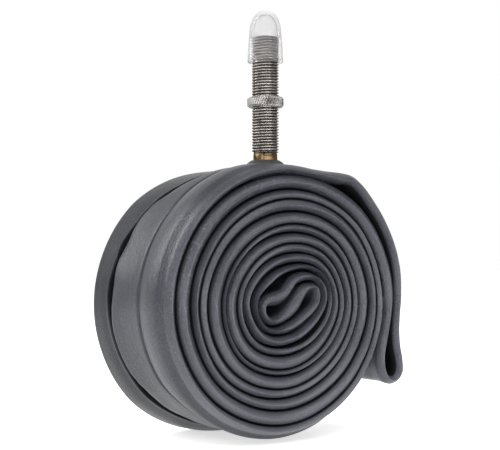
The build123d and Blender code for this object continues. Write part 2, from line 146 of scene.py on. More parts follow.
def layer_radius(arm, quarters):
    """Distance of an arm's middle from the roll's centre, `quarters` quarter turns in from the right."""
    last = LAST_STATION[arm]
    whole = min(int(quarters), last - 1)
    part = quarters - whole
    before, here, there, after = [
        layer_station(arm, min(max(station, 0), last)) for station in range(whole - 1, whole + 3)
    ]
    slope = (there - before) / 2
    bend = before - 2.5 * here + 2 * there - after / 2
    twist = (3 * (here - there) + after - before) / 2
    tilt = CORE_TILT * min(1, quarters / 6) * math.sin(math.pi * quarters)
    return here + part * (slope + part * (bend + part * twist)) + tilt


def half_thickness(arm, quarters):
    """Half thickness of a layer towards the ring's inside and outside."""
    middle = layer_radius(arm, quarters)
    inside = abs(middle - layer_radius(1 - arm, quarters)) / 2 - LAYER_GAP / 2
    neighbour = quarters + (4 if arm == INNER_ARM else -4)
    if neighbour < 0 or neighbour > LAST_STATION[1 - arm]:
        return inside, OPEN_HALF
    return inside, abs(middle - layer_radius(1 - arm, neighbour)) / 2 - LAYER_GAP / 2


def gap_at(gaps, quarters):
    return float(np.interp(quarters, range(len(gaps)), gaps))


# One station of the ring. The halves, gaps and shifts are those towards the ring's inside and
# outside, and a station that isn't on an arm has -1 quarters on it.
Station = namedtuple(
    "Station", "x z inside outside gap_in gap_out shift_in shift_out outer_quarters inner_quarters"
)


def arm_stations(arm, first, last):
    """Stations every half quarter turn along an arm."""
    rows = []
    for step in range(abs(last - first) * 2 + 1):
        quarters = first + (step / 2 if last > first else -step / 2)
        radius, angle = layer_radius(arm, quarters), quarters * math.pi / 2
        outside_quarters = max(quarters - 4, 0) if arm == OUTER_ARM else quarters
        gaps = gap_at(GAP_INSIDE, quarters), gap_at(GAP_OUTSIDE, outside_quarters)
        inward = -1 if arm == OUTER_ARM else 1
        free = arm == OUTER_ARM and quarters < 4
        under_flap = 0
        if arm == INNER_ARM:
            under_flap = UNDER_FLAP * bump_at(quarters, UNDER_FLAP_AT, UNDER_FLAP_REACH)
        shifts = (
            inward * gap_at(SHIFT_INSIDE, quarters) + under_flap,
            0 if free else -inward * gap_at(SHIFT_OUTSIDE, outside_quarters),
        )
        place = (quarters, -1) if arm == OUTER_ARM else (-1, quarters)
        halves = half_thickness(arm, quarters)
        middle = radius * math.cos(angle), radius * math.sin(angle)
        rows.append((*middle, *halves, *gaps, *shifts, *place))
    return rows


def free_stations(points, shift_in=0.0):
    """Stations off the arms, whose gaps are open."""
    return [(*point, 1, 1, shift_in, 0, -1, -1) for point in points]


def ring_stations():
    """The whole folded ring, once round: outer arm, core, inner arm, hairpin and flap."""
    rows = arm_stations(OUTER_ARM, 1, 18) + free_stations(CORE)
    rows += arm_stations(INNER_ARM, 16, 0) + free_stations(HAIRPIN) + free_stations(FLAP[:6], FLAP_SHIFT)
    rows += free_stations(FLAP[6:])
    return np.array(rows, float)


def dense_ring(rows):
    """The stations joined by smooth curves and sampled closely; also each sample's left normal."""
    count = len(rows)
    first_value, first_quarters = Station._fields.index("inside"), Station._fields.index("outer_quarters")
    points = rows[:, :first_value]
    leaving = np.roll(points, -1, axis=0) - points
    lengths = np.linalg.norm(leaving, axis=1)
    arriving, before = np.roll(leaving, 1, axis=0), np.roll(lengths, 1)
    slopes = arriving / before[:, None] * lengths[:, None] + leaving / lengths[:, None] * before[:, None]
    slopes /= np.linalg.norm(slopes, axis=1)[:, None]
    samples, normals = [], []
    for index in range(count):
        here, there = rows[index], rows[(index + 1) % count]
        here_quarters, there_quarters = here[first_quarters:], there[first_quarters:]
        on_arm = max(here_quarters) >= 0 and max(there_quarters) >= 0
        steps = max(4, round(lengths[index] / (LONG_STEP if on_arm else SHORT_STEP)))
        start = slopes[index] * lengths[index]
        end = slopes[(index + 1) % count] * lengths[index]
        for step in range(steps):
            t = step / steps
            place = (
                (2 * t**3 - 3 * t**2 + 1) * points[index] + (t**3 - 2 * t**2 + t) * start
                + (3 * t**2 - 2 * t**3) * points[(index + 1) % count] + (t**3 - t**2) * end
            )
            heading = (
                (6 * t**2 - 6 * t) * (points[index] - points[(index + 1) % count])
                + (3 * t**2 - 4 * t + 1) * start + (3 * t**2 - 2 * t) * end
            )
            heading /= np.linalg.norm(heading)
            mixed = here + (there - here) * t
            rest = mixed[first_value:first_quarters]
            quarters = [
                a + (b - a) * t if a >= 0 and b >= 0 else -1 for a, b in zip(here_quarters, there_quarters)
            ]
            samples.append((*place, *rest, *quarters))
            normals.append((-heading[1], heading[0]))
    return np.array(samples), np.array(normals)


# ---------------------------------------------------------------- materials
class Shader:
    """A node material being built: `put` adds a node, and values or sockets fill its inputs."""

    def __init__(self, name):
        self.material = bpy.data.materials.new(name)
        self.material.use_nodes = True
        self.tree = self.material.node_tree
        self.tree.nodes.clear()
        self.surface = self.put("ShaderNodeBsdfPrincipled")
        output = self.put("ShaderNodeOutputMaterial")
        self.tree.links.new(self.surface.outputs["BSDF"], output.inputs["Surface"])

    def put(self, kind, inputs=None, **settings):
        node = self.tree.nodes.new(kind)
        for name, value in settings.items():
            setattr(node, name, value)
        self.fill(node, inputs or {})
        return node

    def fill(self, node, inputs):
        for name, value in inputs.items():
            socket = node.inputs[name]
            if isinstance(value, bpy.types.NodeSocket):
                self.tree.links.new(value, socket)
            else:
                socket.default_value = value

    def set(self, **inputs):
        self.fill(self.surface, {name.replace("_", " "): value for name, value in inputs.items()})

    def place(self, scale=(1, 1, 1)):
        """The object's own coordinates in metres, times `scale`."""
        coordinates = self.put("ShaderNodeTexCoord").outputs["Object"]
        return self.put("ShaderNodeMapping", {"Vector": coordinates, "Scale": scale}).outputs["Vector"]

    def strip(self, scale):
        """Coordinates along the strip and round it, in millimetres, times `scale`."""
        coordinates = self.put("ShaderNodeUVMap", uv_map="strip").outputs["UV"]
        return self.put("ShaderNodeMapping", {"Vector": coordinates, "Scale": scale}).outputs["Vector"]

    def noise(self, vector, scale=1.0, detail=2.0, roughness=0.5):
        inputs = {"Vector": vector, "Scale": scale, "Detail": detail, "Roughness": roughness}
        return self.put("ShaderNodeTexNoise", inputs).outputs["Fac"]

    def math(self, operation, a, b=0.0):
        return self.put("ShaderNodeMath", {0: a, 1: b}, operation=operation).outputs[0]

    def between(self, value, low, high, to_low=0.0, to_high=1.0):
        inputs = {"Value": value, "From Min": low, "From Max": high, "To Min": to_low, "To Max": to_high}
        return self.put("ShaderNodeMapRange", inputs, interpolation_type="SMOOTHSTEP").outputs[0]

    def mix(self, amount, a, b):
        """Colour `a` turning into colour `b` as the amount goes from 0 to 1."""
        a, b = [(*colour, 1) if isinstance(colour, tuple) else colour for colour in (a, b)]
        return self.put("ShaderNodeMix", {0: amount, 6: a, 7: b}, data_type="RGBA").outputs[2]

    def height(self):
        """The object's own height in metres."""
        return self.put("ShaderNodeSeparateXYZ", {"Vector": self.place()}).outputs["Z"]

    def bump(self, height, strength, distance):
        inputs = {"Height": height, "Strength": strength, "Distance": distance}
        return self.put("ShaderNodeBump", inputs).outputs["Normal"]


# Linear colours of the rubber and of what lies on it.
RUBBER, PALE_RUBBER = (0.024, 0.026, 0.034), (0.036, 0.0385, 0.049)
# Darker rubber of the free face: its own matt tone, and painted shade on the far band.
FREE_FACE_AND_SHADE_RUBBER = (0.017, 0.018, 0.022)
DRAWN_GREY, TICK_GREY, SPECK_GREY = (0.13, 0.135, 0.15), (0.13, 0.135, 0.145), (0.11, 0.115, 0.13)
DUST_GREY, LOW_PALE_GREY = (0.22, 0.23, 0.24), (0.085, 0.09, 0.105)
# The last black here is painted shade for the gaps, the slit and the crease.
SEAM_BLACK, PIT_BLACK, SHADE_BLACK = (0.02, 0.021, 0.025), (0.012, 0.013, 0.017), (0.004, 0.004, 0.005)
PALE_FULL, PALE_ENDS = -0.074, -0.044    # heights in metres between which the paler grey thins out
GLOSS = 0.5
GLOSS_LOST = 0.42                        # where the painted shade is


def tick_pattern(s, along, tick_low, tick_high):
    """Short marks across the strip, evenly spaced from `tick_low` to `tick_high` mm along it."""
    beat = s.math("FRACT", s.math("DIVIDE", s.math("SUBTRACT", along, tick_low), TICK_STEP))
    tick = s.between(s.math("ABSOLUTE", s.math("SUBTRACT", beat, 0.5)), 0.02, 0.06, 1, 0)
    above, below = s.math("GREATER_THAN", along, tick_low), s.math("LESS_THAN", along, tick_high)
    patchy = s.between(s.noise(s.strip((0.5, 0.6, 1)), 1.0, 2), 0.4, 0.6)
    return s.math("MULTIPLY", s.math("MULTIPLY", tick, s.math("MULTIPLY", above, below)), patchy)


def seam_pattern(s, along, seams):
    """Thin lines straight across the strip at the given places along it."""
    lines = [
        s.between(s.math("ABSOLUTE", s.math("SUBTRACT", along, place)), 0.05, 0.45, 1, 0) for place in seams
    ]
    seam = lines[0]
    for line in lines[1:]:
        seam = s.math("MAXIMUM", seam, line)
    return seam


def tube_rubber(tick_low, tick_high, seams):
    """Satin butyl rubber: blue-grey black, faint drawn lines along the strip, paler grey towards the bottom.

    The mesh's "grime" attribute is painted shade that blackens the gaps, the slit and the crease, and its
    "dull" darkens the free face: 0.7 on the two near bands, and up to 1.5 on the far one, where the extra
    darkening is painted shade.
    """
    s = Shader("tube_rubber")
    broad = s.noise(s.place(), 60, 3)
    grain = s.noise(s.place(), 1500, 3, 0.6)
    dust = s.noise(s.place(), 900, 3, 0.7)
    specks = s.noise(s.place(), 1900, 3, 0.75)
    drawn = s.noise(s.strip((0.05, 2.2, 1)), 1.0, 3, 0.6)
    streaks = s.noise(s.strip((0.22, 2.4, 1)), 1.0, 4, 0.7)
    line = s.put("ShaderNodeUVMap", uv_map="strip").outputs["UV"]
    along = s.put("ShaderNodeSeparateXYZ", {"Vector": line}).outputs["X"]
    tick, seam = tick_pattern(s, along, tick_low, tick_high), seam_pattern(s, along, seams)
    painted_shade = s.between(s.put("ShaderNodeAttribute", attribute_name="painted_shade").outputs["Fac"], 0.05, 0.9)
    dull_and_shade = s.put("ShaderNodeAttribute", attribute_name="dull_and_shade").outputs["Fac"]

    colour = s.mix(s.between(broad, 0.35, 0.65), RUBBER, PALE_RUBBER)
    colour = s.mix(s.between(streaks, 0.52, 0.74, 0, 0.22), colour, DRAWN_GREY)
    colour = s.mix(s.between(dust, 0.66, 0.8, 0, 0.35), colour, DUST_GREY)
    colour = s.mix(s.math("MULTIPLY", tick, 0.4), colour, TICK_GREY)
    colour = s.mix(s.math("MULTIPLY", seam, 0.35), colour, SEAM_BLACK)
    colour = s.mix(s.between(specks, 0.34, 0.5, 0.45, 0), colour, PIT_BLACK)
    colour = s.mix(s.between(specks, 0.52, 0.72, 0, 0.3), colour, SPECK_GREY)
    # the free face darkens: its own matt tone, plus painted shade on the far band
    colour = s.mix(s.between(dull_and_shade, 0, 1.5, 0, 0.9), colour, FREE_FACE_AND_SHADE_RUBBER)
    # paler grey towards the bottom, less of it on the free face
    low_pale = s.between(s.height(), PALE_FULL, PALE_ENDS, 1, 0)
    low_pale = s.math("MULTIPLY", low_pale, s.between(dull_and_shade, 0, 0.5, 0.55, 0))
    colour = s.mix(low_pale, colour, LOW_PALE_GREY)

    matt = s.math("MULTIPLY", s.between(dull_and_shade, 0.7, 1.5, 0.42, 0.9), s.between(dull_and_shade, 0.0, 0.5))
    gloss = s.math("SUBTRACT", GLOSS, s.math("MULTIPLY", s.math("MAXIMUM", painted_shade, matt), GLOSS_LOST))
    height = s.math("ADD", s.math("MULTIPLY", drawn, 0.6), s.math("MULTIPLY", grain, 0.7))
    height = s.math("SUBTRACT", height, s.math("MULTIPLY", s.math("MAXIMUM", seam, tick), 0.6))
    s.set(
        # painted shade: the gaps, the slit and the crease turn black
        Base_Color=s.mix(painted_shade, colour, SHADE_BLACK),
        Roughness=s.math("MAXIMUM", s.between(streaks, 0.3, 0.75, 0.3, 0.43), painted_shade),
        Specular_IOR_Level=s.math("MULTIPLY", gloss, s.between(specks, 0.3, 0.7, 0.8, 1.15)),
        Normal=s.bump(height, 0.5, 0.0003),
    )
    return s.material


def foot_rubber():
    """Moulded rubber of the valve's foot: matt, finely grained."""
    s = Shader("foot_rubber")
    grain = s.noise(s.place(), 2200, 3)
    broad = s.noise(s.place(), 180, 3)
    colour = s.mix(broad, (0.017, 0.018, 0.017), (0.03, 0.032, 0.03))
    s.set(
        Base_Color=colour,
        Roughness=s.between(broad, 0.3, 0.7, 0.5, 0.65),
        Specular_IOR_Level=0.3,
        Normal=s.bump(grain, 0.3, 0.0001),
    )
    return s.material


BARE_TO, PLATED_FROM = 0.0019, 0.0023            # heights in metres on the stem's neck
ROOT_STARTS, ROOT_FADES = (3.3, 3.4), (3.48, 3.68)    # radii in mm of the painted shade in the thread's root


def plated_brass():
    """Nickel plate on the threaded stem, and bare brass with dark spots on its plain neck."""
    s = Shader("plated_brass")
    bare = s.between(s.height(), BARE_TO, PLATED_FROM, 1, 0)
    lines = s.noise(s.place((90, 90, 4200)), 1.0, 2)
    patches = s.noise(s.place(), 420, 3, 0.6)
    plate = s.mix(s.between(patches, 0.35, 0.7), (0.25, 0.23, 0.215), (0.355, 0.33, 0.31))
    spots = s.between(s.noise(s.place(), 700, 3, 0.7), 0.54, 0.66)
    brass = s.mix(spots, (0.17, 0.112, 0.062), (0.02, 0.014, 0.011))
    from_axis = s.place((1 / MM, 1 / MM, 0))
    radius = s.put("ShaderNodeVectorMath", {0: from_axis}, operation="LENGTH").outputs["Value"]
    # painted shade: the thread's roots turn dark
    root = s.math("MULTIPLY", s.between(radius, *ROOT_FADES, 1, 0), s.between(radius, *ROOT_STARTS))
    plate = s.mix(root, plate, (0.1, 0.088, 0.08))
    s.set(
        Base_Color=s.mix(bare, plate, brass),
        Metallic=1.0,
        Specular_Tint=(0.3, 0.28, 0.26, 1),
        Roughness=s.between(patches, 0.3, 0.7, 0.32, 0.46),
        Normal=s.bump(lines, 0.12, 0.00005),
    )
    return s.material


def nut_plating():
    """Nickel plate, brighter than the stem's."""
    s = Shader("nut_plating")
    patches = s.noise(s.place(), 600, 3, 0.6)
    scratches = s.noise(s.place((1200, 1200, 200)), 1.0, 2)
    colour = s.mix(s.between(patches, 0.35, 0.7), (0.21, 0.2, 0.19), (0.31, 0.298, 0.286))
    s.set(
        Base_Color=colour,
        Metallic=1.0,
        Specular_Tint=(0.45, 0.43, 0.41, 1),
        Roughness=s.between(patches, 0.3, 0.7, 0.28, 0.4),
        Normal=s.bump(scratches, 0.1, 0.00004),
    )
    return s.material


def clear_plastic():
    """Clear moulded plastic, a little hazy; painted shade turns the walls dark grey where they are seen
    edge-on.
    """
    s = Shader("clear_plastic")
    haze = s.noise(s.place(), 500, 3)
    # painted shade: darker grey towards the walls seen edge-on
    edge = s.put("ShaderNodeLayerWeight", {"Blend": 0.35}).outputs["Facing"]
    s.set(
        Base_Color=s.mix(s.between(edge, 0.1, 0.95), (0.85, 0.85, 0.855), (0.22, 0.22, 0.225)),
        Roughness=s.between(haze, 0.3, 0.7, 0.02, 0.06),
        IOR=1.14,
        Transmission_Weight=0.95,
        Normal=s.bump(s.noise(s.place(), 260, 2), 0.08, 0.0002),
    )
    return s.material


def bare_brass():
    """Turned brass of the valve core."""
    s = Shader("bare_brass")
    turning = s.noise(s.place((60, 60, 5200)), 1.0, 2)
    patches = s.noise(s.place(), 650, 3)
    s.set(
        Base_Color=s.mix(patches, (0.55, 0.40, 0.19), (0.72, 0.55, 0.29)),
        Metallic=1.0,
        Roughness=s.between(patches, 0.3, 0.7, 0.22, 0.38),
        Normal=s.bump(turning, 0.2, 0.00005),
    )
    return s.material


def seal_rubber():
    """Red rubber of the core's seals."""
    s = Shader("seal_rubber")
    mottle = s.noise(s.place(), 900, 3)
    s.set(
        Base_Color=s.mix(mottle, (0.26, 0.035, 0.03), (0.36, 0.06, 0.05)),
        Roughness=0.5,
        Normal=s.bump(mottle, 0.2, 0.00005),
    )
    return s.material


def spring_steel():
    """Drawn stainless wire."""
    s = Shader("spring_steel")
    drawn = s.noise(s.place((2500, 2500, 600)), 1.0, 2)
    s.set(
        Base_Color=s.mix(drawn, (0.5, 0.5, 0.5), (0.66, 0.66, 0.65)),
        Metallic=1.0,
        Roughness=0.28,
        Normal=s.bump(drawn, 0.15, 0.00003),
    )
    return s.material


def stage_grey():
    """The floor: nearly white paper that glows a little, so that it stays white in the picture."""
    s = Shader("stage")
    mottle = s.noise(s.place(), 3, 2)
    s.set(
        Base_Color=s.mix(mottle, (0.86, 0.86, 0.86), (0.88, 0.88, 0.88)),
        Roughness=0.85,
        Emission_Color=(1, 1, 1, 1),
        Emission_Strength=0.6,
    )
    return s.material


# ---------------------------------------------------------------- mesh helpers
def grid_mesh(name, rows, closed_rows=True, closed_columns=True, uv=None):
    """A mesh from an array of points [row, column, xyz] in millimetres."""
    rows = np.asarray(rows, float)
    count, width = rows.shape[:2]
    row_next = [(r, (r + 1) % count) for r in range(count if closed_rows else count - 1)]
    column_next = [(c, (c + 1) % width) for c in range(width if closed_columns else width - 1)]
    faces = [
        (r0 * width + c0, r0 * width + c1, r1 * width + c1, r1 * width + c0)
        for r0, r1 in row_next for c0, c1 in column_next
    ]
    mesh = bpy.data.meshes.new(name)
    mesh.from_pydata((rows.reshape(-1, 3) * MM).tolist(), [], faces)
    if uv is not None:
        layer = mesh.uv_layers.new(name="strip")
        along, across = uv
        corners = []
        for r0, r1 in row_next:
            u0, u1 = along[r0], along[r0 + 1]
            for c0, c1 in column_next:
                v0, v1 = across[c0], across[c0 + 1]
                corners += [u0, v0, u0, v1, u1, v1, u1, v0]
        layer.data.foreach_set("uv", np.array(corners, np.float32))
    return mesh


def finish_mesh(mesh, material, smooth_angle=50):
    """Outward faces and smooth shading with creases kept, as an object in the scene."""
    work = bmesh.new()
    work.from_mesh(mesh)
    bmesh.ops.recalc_face_normals(work, faces=work.faces)
    work.to_mesh(mesh)
    work.free()
    mesh.materials.append(material)
    mesh.shade_smooth()
    mesh.set_sharp_from_angle(angle=math.radians(smooth_angle))
    thing = bpy.data.objects.new(mesh.name, mesh)
    bpy.context.scene.collection.objects.link(thing)
    return thing


def hand_over(thing, body, slot, *nodes):
    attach(thing, body)
    if nodes:
        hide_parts(*nodes)
    return thing


# ---------------------------------------------------------------- the rolled tube
BEAD_TURNS = [math.pi * k / 12 for k in range(1, 12)]
BEAD_DEPTH_SHUT, BEAD_DEPTH_OPEN = 0.8, 2.3
BEAD_POINT = 1.6                     # 1 is an elliptic bead; higher is more pointed
STRIP_THINNING = 0.35                # how much thinner each half is between its two beads
THINNING_SHUT = 0.4                  # the share of that thinning where a gap is shut
THIN_FROM, THIN_TO = 2.0, 7.0
EDGE_INSET = 0.35                    # keeps the wavy edges within the width
GAP_SHADE, DEEP_SHADE = 0.7, 0.3     # painted shade in every gap, and what is added away from the beads
CORE_REACH, CORE_SHADE = 20, 0.3     # the folded middle is open, so it gets less painted shade
STEP_LINE, DEFAULT_SLIT, LEAST_PLEAT = -5.9, 5.0, 5.0
SLIT_PEAK, SLIT_PEAK_ANGLE, SLIT_DROP, SLIT_DROP_ANGLE = 8.1, 178, 6.1, 62
FREE_FROM, FREE_TO = (0.9, 1.25), (3.6, 3.2)    # quarter turns over which the free face sets in and ends
UNSHADED_TO = 4.2                       # quarter turns in from the right; the outside up to here gets no painted shade
FRONT_BULGE, GROOVE_DEPTH, GAPE_DEPTH, CREASE_DEPTH = 1.5, 0.9, 1.1, 0.55
BELLY_SHARE, BELLY_FADE = 0.75, 4    # how the layers below follow the outermost layer's belly

# Where the slit gapes, as (angle in degrees, half width of the stretch, opening in mm).
SLIT_MOUTHS = [(117, 5, 0.9), (128, 5, 1.2), (156, 6, 1.4), (175, 9, 1.1), (222, 8, 1.3), (238, 8, 1.5)]
# How far the far band's back edge bellies out of the roll, by angle in degrees.
BELLY_ANGLES = [90, 115, 135, 180, 225, 260, 300, 345]
BELLY = [-0.6, 0.6, 1.6, 2.3, 3.2, 3.0, 2.4, 0]

# Ticks run across the second layer between these quarter turns, and seams cross it at these points.
TICKS_FROM, TICKS_TO, TICK_STEP = 1.08, 2.15, 4.45
SEAM_POINTS = [(41, 1), (-1.5, -25.8), (4, -35.5)]


def wave(x, y, seed):
    return noise.noise(Vector((x, y, seed)))


def slit_line(angle):
    """Where the slit between the outer layer's two pleats runs across the width, by angle in degrees."""
    return SLIT_PEAK - SLIT_DROP * ((angle - SLIT_PEAK_ANGLE) / SLIT_DROP_ANGLE) ** 2


def step_line(angle):
    """Where the step between the two near bands runs across the width: nearer the front lower down."""
    return STEP_LINE - 5.0 * float(smoothstep(212, 236, angle)) + 1.2 * float(smoothstep(140, 118, angle))


def slit_opening(angle):
    opening = 0.32 + 0.12 * wave(angle * 0.2, 0, 3)
    for middle, reach, width in SLIT_MOUTHS:
        opening += width * bump_at(angle, middle, reach)
    return opening


def outer_relief(y, slit, step, opening):
    """Outward offset of the outermost layer's free face, and its painted shade: bands, a step and a slit."""
    half_mouth = 0.2 + 0.4 * opening
    groove = (GROOVE_DEPTH + GAPE_DEPTH * min(opening, 1)) * bump_at(y, slit, half_mouth) ** 0.7
    # painted shade in the slit's mouth and along the crease at the step
    slit_shade = 1.8 * bump_at(y, slit + 0.6 * half_mouth, 1.2 * half_mouth)
    crease = bump_at(y, step, 0.3)
    if y <= step:
        share = min(max((y + HALF_WIDTH) / (step + HALF_WIDTH), 0), 1)
        height = FRONT_BULGE * math.sin(math.pi * share) ** 0.9
    elif y <= slit:
        share = (y - step) / (slit - step)
        height = 0.3 + 0.35 * math.sin(math.pi * share) + 0.5 * share**4
    else:
        height = 0.5 * bump_at(y, slit + half_mouth + 0.7, 0.6) - 0.1
    return height - CREASE_DEPTH * crease - groove, max(min(1.0, slit_shade), 0.6 * crease)


def profile_knots(slit, step, front, back):
    """Positions across the outer face, gathered round the step and the slit."""
    near_step = [step + d for d in (-1.2, -0.6, -0.25, 0, 0.25, 0.6, 1.2)]
    near_slit = [slit + d for d in (-1.7, -1.1, -0.75, -0.45, -0.2, 0, 0.2, 0.45, 0.75, 1.1, 1.6, 2.2)]
    lead = np.linspace(front, near_step[0], 12)[:-1]
    between = np.linspace(near_step[-1], near_slit[0], 7)[1:-1]
    tail = np.linspace(near_slit[-1], back, 9)[1:]
    return [*lead, *near_step, *between, *near_slit, *tail]


def free_share(station):
    """How far the layer's outer face lies free: 1 round the left of the outermost turn."""
    quarters = station.outer_quarters
    if quarters < 0:
        return 0.0
    return float(smoothstep(*FREE_FROM, quarters) * smoothstep(*FREE_TO, quarters))


def outside_shows(station):
    """Whether the outer face is on the outside of the roll, where it gets no painted shade."""
    off_arms = station.outer_quarters < 0 and station.inner_quarters < 0
    upper_right = station.x > 0 and abs(station.z) + station.x > 30
    return 0 < station.outer_quarters < UNSHADED_TO or (off_arms and upper_right)


def belly_at(station, angle):
    """How far the strip's back edge bellies out; the layers below follow the outermost one."""
    free = free_share(station)
    belly = float(np.interp(angle, BELLY_ANGLES, BELLY))
    quarters_in = max(station.outer_quarters - 2, station.inner_quarters)
    if free > 0 or quarters_in <= 0:
        return free * belly
    follow = float(smoothstep(0.9, 1.4, quarters_in) * smoothstep(9, 3, quarters_in))
    return BELLY_SHARE * follow * belly * bump_at(quarters_in, 2, BELLY_FADE)


def bead_depth(gap):
    return BEAD_DEPTH_SHUT + (BEAD_DEPTH_OPEN - BEAD_DEPTH_SHUT) * gap


def bead_points(edge, into, first, second):
    """From one face round the rolled edge to the other: each side has (half, depth)."""
    middle, half = (second[0] + first[0]) / 2, (second[0] - first[0]) / 2
    for turn in BEAD_TURNS:
        across = -half * math.copysign(abs(math.cos(turn)) ** BEAD_POINT, math.cos(turn))
        depth = first[1] if turn < math.pi / 2 else second[1]
        yield middle + across, edge + into * depth * (1 - math.sin(turn) ** BEAD_POINT)


def strip_section(station, angle, along):
    """The strip's outline at one station: (inward offset, y) points, and each one's painted shade and
    dullness.
    """
    free, unshaded = free_share(station), outside_shows(station)
    slit, step = (slit_line(angle), step_line(angle)) if free > 0 else (DEFAULT_SLIT, STEP_LINE)
    slit, opening = max(slit, step + LEAST_PLEAT), slit_opening(angle)
    front = EDGE_INSET - HALF_WIDTH - FRONT_REACH
    front += 0.28 * wave(along / 21, 0, 1) + 0.1 * wave(along / 6, 0, 2)
    back = HALF_WIDTH - EDGE_INSET + 0.28 * wave(along / 23, 0, 5)
    deep_in, deep_out = bead_depth(station.gap_in), bead_depth(station.gap_out)
    thin_in, thin_out = [STRIP_THINNING * (THINNING_SHUT + gap) for gap in (station.gap_in, station.gap_out)]
    off_arms = max(station.outer_quarters, station.inner_quarters) < 0
    depth_kept = CORE_SHADE if off_arms and abs(station.x) < CORE_REACH else 1.0

    def thinned(y):
        return float(smoothstep(THIN_FROM, THIN_TO, min(y - front, back - y)))

    points, painted_shade, dull_and_shade = [], [], []
    for y in profile_knots(slit, step, front + deep_out, back - deep_out):
        past_bead = y - front - deep_out
        if free > 0:
            fade = free * float(smoothstep(0, 2.5, min(past_bead, back - deep_out - y)))
            lift, shade_amount = [fade * value for value in outer_relief(y, slit, step, opening)]
        else:
            lift = -thin_out * thinned(y)
            # painted shade in the gaps between layers, except where the face shows outside
            shade_amount = 0 if unshaded else depth_kept * GAP_SHADE + DEEP_SHADE * thinned(y)
        shift = float(smoothstep(6, 1, past_bead)) * station.shift_out
        points.append((-(station.outside + shift + lift), y))
        painted_shade.append(shade_amount)
        # dullness 0.7 on the near bands; the far band's extra 0.8 is painted shade
        dull_and_shade.append(free * (0.7 + 0.8 * float(smoothstep(slit - 0.2, slit + 0.6, y))))

    # painted shade on the beads, deepest down in the gaps
    bead_shade = [
        depth_kept * float(smoothstep(0.5, 1.0, 1 - math.sin(turn) ** BEAD_POINT)) for turn in BEAD_TURNS
    ]
    points += bead_points(back, -1, (-station.outside, deep_out), (station.inside, deep_in))
    painted_shade += [0.0 if unshaded and turn < math.pi / 2 else shade_amount for turn, shade_amount in zip(BEAD_TURNS, bead_shade)]
    dull_and_shade += [free] * len(BEAD_TURNS)
    for y in np.linspace(back - deep_in, front + deep_in, 9):
        shift = float(smoothstep(6, 1, y - front - deep_in)) * station.shift_in
        points.append((station.inside + shift - thin_in * thinned(y), y))
        painted_shade.append(depth_kept * GAP_SHADE + DEEP_SHADE * thinned(y))
    front_in, front_out = station.inside + station.shift_in, station.outside + station.shift_out
    points += bead_points(front, 1, (front_in, deep_in), (-front_out, deep_out))
    painted_shade += [0.0 if unshaded and turn > math.pi / 2 else shade_amount for turn, shade_amount in zip(BEAD_TURNS, bead_shade)]
    dull_and_shade += [0.0] * (len(points) - len(dull_and_shade))
    return points, painted_shade, dull_and_shade


def place_section(station, normal, points, belly):
    """A section's points in the part's frame."""
    outward = -1 if station.outer_quarters >= 0 else 1
    row = []
    for inward, y in points:
        offset = inward + outward * belly * float(smoothstep(-3, 15, y))
        lean = FRONT_LEAN * float(smoothstep(-8, -18, y))
        row.append((
            station.x + normal[0] * offset + ROLL_CENTRE[0] + lean, y,
            station.z + normal[1] * offset + ROLL_CENTRE[1],
        ))
    return row


def arc_lengths(points):
    """Distance along a closed line of points to each point, and back to the first."""
    steps = np.linalg.norm(np.roll(points, -1, axis=0) - points, axis=1)
    return np.concatenate([[0], np.cumsum(steps)])


def make_roll():
    """The rolled tube. Returns the top of its outer layer as sorted (x, z), for the valve's foot."""
    samples, normals = dense_ring(ring_stations())
    x, z, inner_quarters = samples[:, 0], samples[:, 1], samples[:, -1]
    along = arc_lengths(samples[:, :2])
    rows, surface, painted_shade, dull_and_shade = [], [], [], []
    for values, normal, distance in zip(samples, normals, along):
        station = Station(*values)
        angle = math.degrees(math.atan2(station.z, station.x)) % 360
        points, section_shade, section_dull_and_shade = strip_section(station, angle, distance)
        rows.append(place_section(station, normal, points, belly_at(station, angle)))
        painted_shade += section_shade
        dull_and_shade += section_dull_and_shade
        if station.z > 25 and station.outer_quarters < 2 and station.inner_quarters < 0:
            surface.append((station.x + ROLL_CENTRE[0], station.z + ROLL_CENTRE[1] + station.outside))
    rows = np.array(rows)
    mesh = grid_mesh("rolled_tube", rows, uv=(along, arc_lengths(rows[len(rows) // 8])))
    for name, values in (("painted_shade", painted_shade), ("dull_and_shade", dull_and_shade)):
        layer = mesh.attributes.new(name, "FLOAT", "POINT")
        layer.data.foreach_set("value", np.array(values, np.float32))
    ticked = along[:-1][(inner_quarters > TICKS_FROM) & (inner_quarters < TICKS_TO)]
    seams = [float(along[np.argmin(np.hypot(x - seam_x, z - seam_z))]) for seam_x, seam_z in SEAM_POINTS]
    tube = finish_mesh(mesh, tube_rubber(float(ticked.min()), float(ticked.max()), seams), 80)
    hand_over(tube, "tube", "tube_rubber", "inner_tube")
    return sorted(surface)


surface_line = make_roll()


# ---------------------------------------------------------------- the valve
def ring_row(columns, radius, height):
    """One ring round the valve's axis. The radius may follow (angle, height), and the height (x, y)."""
    row = []
    for column in range(columns):
        angle = 2 * math.pi * column / columns
        r = radius(angle, height) if callable(radius) else radius
        px, py = r * math.cos(angle), r * math.sin(angle)
        row.append((px, py, height(px, py) if callable(height) else height))
    return row


def ring_rows(profile, columns):
    """Rings for each (radius, height) of a profile."""
    return [ring_row(columns, radius, height) for radius, height in profile]


def ridge(phase, crest, root):
    """A 60 degree thread's height, 0 at the root to 1 at the crest, over one turn of `phase`."""
    t = abs((phase % 1) - 0.5) * 2
    return min(max((t - root) / (1 - root - crest), 0), 1)


